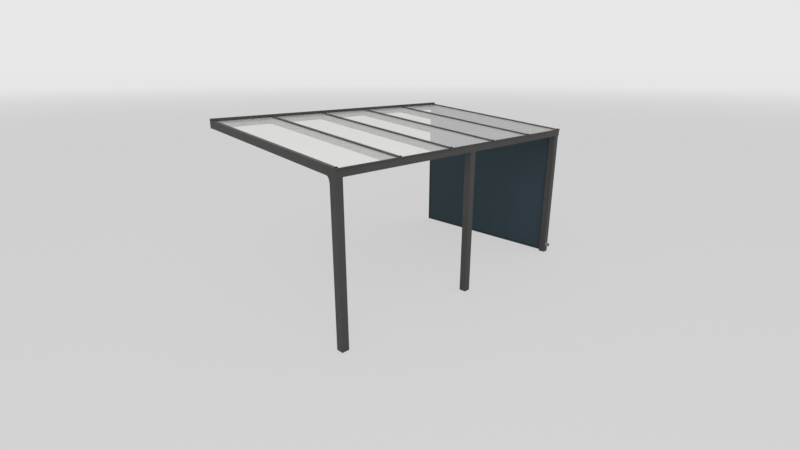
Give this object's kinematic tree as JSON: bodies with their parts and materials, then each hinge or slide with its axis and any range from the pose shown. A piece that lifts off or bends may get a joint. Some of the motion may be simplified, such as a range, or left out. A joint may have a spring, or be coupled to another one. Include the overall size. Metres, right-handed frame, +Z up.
{
  "type": "wall-mounted patio roof",
  "caption": "Lean-to patio roof with milky glass panes between sloping metal rafters, a front gutter on square posts, a drain spout and a dark textile side screen.",
  "frame": {"origin": "centre of the wall profile's back face, on the wall plane, half way along the roof", "axes": "+Y points into the wall and -Y out over the patio, +X to the right for someone who faces the wall, +Z up; the ground is at z = -2.5615 m"},
  "size_m": [5, 3.055, 2.634],
  "materials": {
    "frame": "satin",
    "cap": "matte",
    "glass": "satin",
    "gasket": "matte",
    "drain": "satin",
    "screen": "matte"
  },
  "bodies": {
    "root": {"wall_profile": "frame", "wall_profile_cap_left": "frame", "wall_profile_cap_right": "frame", "side_rafter_left": "frame", "side_rafter_right": "frame", "rafter_1": "frame", "rafter_2": "frame", "rafter_3": "frame", "rafter_4": "frame", "cover_strip_left": "frame", "cover_strip_1": "frame", "cover_strip_2": "frame", "cover_strip_3": "frame", "cover_strip_4": "frame", "cover_strip_right": "frame", "strip_end_cap_left": "cap", "strip_end_cap_1": "cap", "strip_end_cap_2": "cap", "strip_end_cap_3": "cap", "strip_end_cap_4": "cap", "strip_end_cap_right": "cap", "glass_pane_1": "glass", "glass_pane_2": "glass", "glass_pane_3": "glass", "glass_pane_4": "glass", "glass_pane_5": "glass", "glazing_gaskets": "gasket", "gutter": "frame", "gutter_end_left": "frame", "gutter_end_right": "frame", "post_left": "frame", "post_middle": "frame", "post_right": "frame", "drain_pipe": "drain", "drain_bend": "drain", "drain_spout": "drain", "screen_top_rail": "frame", "screen_bottom_rail": "frame", "screen_front_rail": "frame", "screen_wall_rail": "frame", "screen_fabric": "screen"}
  },
  "joints": []
}
